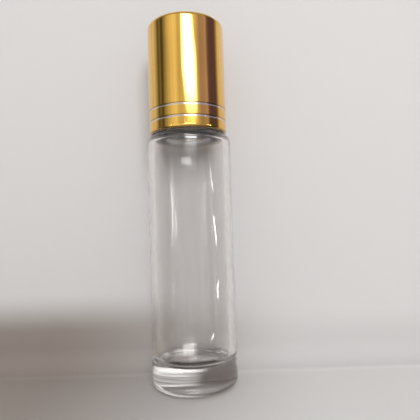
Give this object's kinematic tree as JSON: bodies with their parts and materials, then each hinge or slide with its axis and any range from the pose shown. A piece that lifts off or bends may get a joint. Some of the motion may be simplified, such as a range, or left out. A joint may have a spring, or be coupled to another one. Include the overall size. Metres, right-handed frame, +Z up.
{
  "type": "roll-on bottle",
  "caption": "Clear glass roll-on bottle with a steel ball in a pressed-in housing and a screw cap in a gold metal shell with silver rings.",
  "frame": {"origin": "centre of the bottle's foot, on the plane that the foot ring stands on", "axes": "+Z up along the bottle's axis, from the foot to the top of the cap"},
  "size_m": [0.02, 0.02, 0.0856],
  "materials": {
    "clear_glass": "clear, fire polished",
    "natural_polyethylene": "natural translucent, satin",
    "polished_steel": "polished",
    "white_foam": "soft, matt",
    "white_polypropylene": "satin",
    "gold_aluminium": "gold anodised, bright, with two bare silver rings"
  },
  "bodies": {
    "bottle": {"glass_bottle": "clear_glass", "roller_housing": "natural_polyethylene"},
    "roller": {"roller_ball": "polished_steel"},
    "seal": {"seal_pad": "white_foam"},
    "cap": {"cap_liner": "white_polypropylene", "cap_shell": "gold_aluminium"}
  },
  "joints": [
    {"name": "roller_spin", "type": "hinge", "parent": "bottle", "child": "roller", "pos_m": [0, 0, 0.0774], "axis": [1, 0, 0], "continuous": true},
    {"name": "cap_lift", "type": "slide", "parent": "bottle", "child": "seal", "axis": [0, 0, 1], "range_m": [0, 0.027]},
    {"name": "cap_turn", "type": "hinge", "parent": "seal", "child": "cap", "pos_m": [0, 0, 0.0592], "axis": [0, 0, 1], "range_deg": [0, 3240]}
  ],
  "couplings": [
    {"joint": "cap_lift", "follows": "cap_turn", "m_per_rad": 0.00047746}
  ]
}
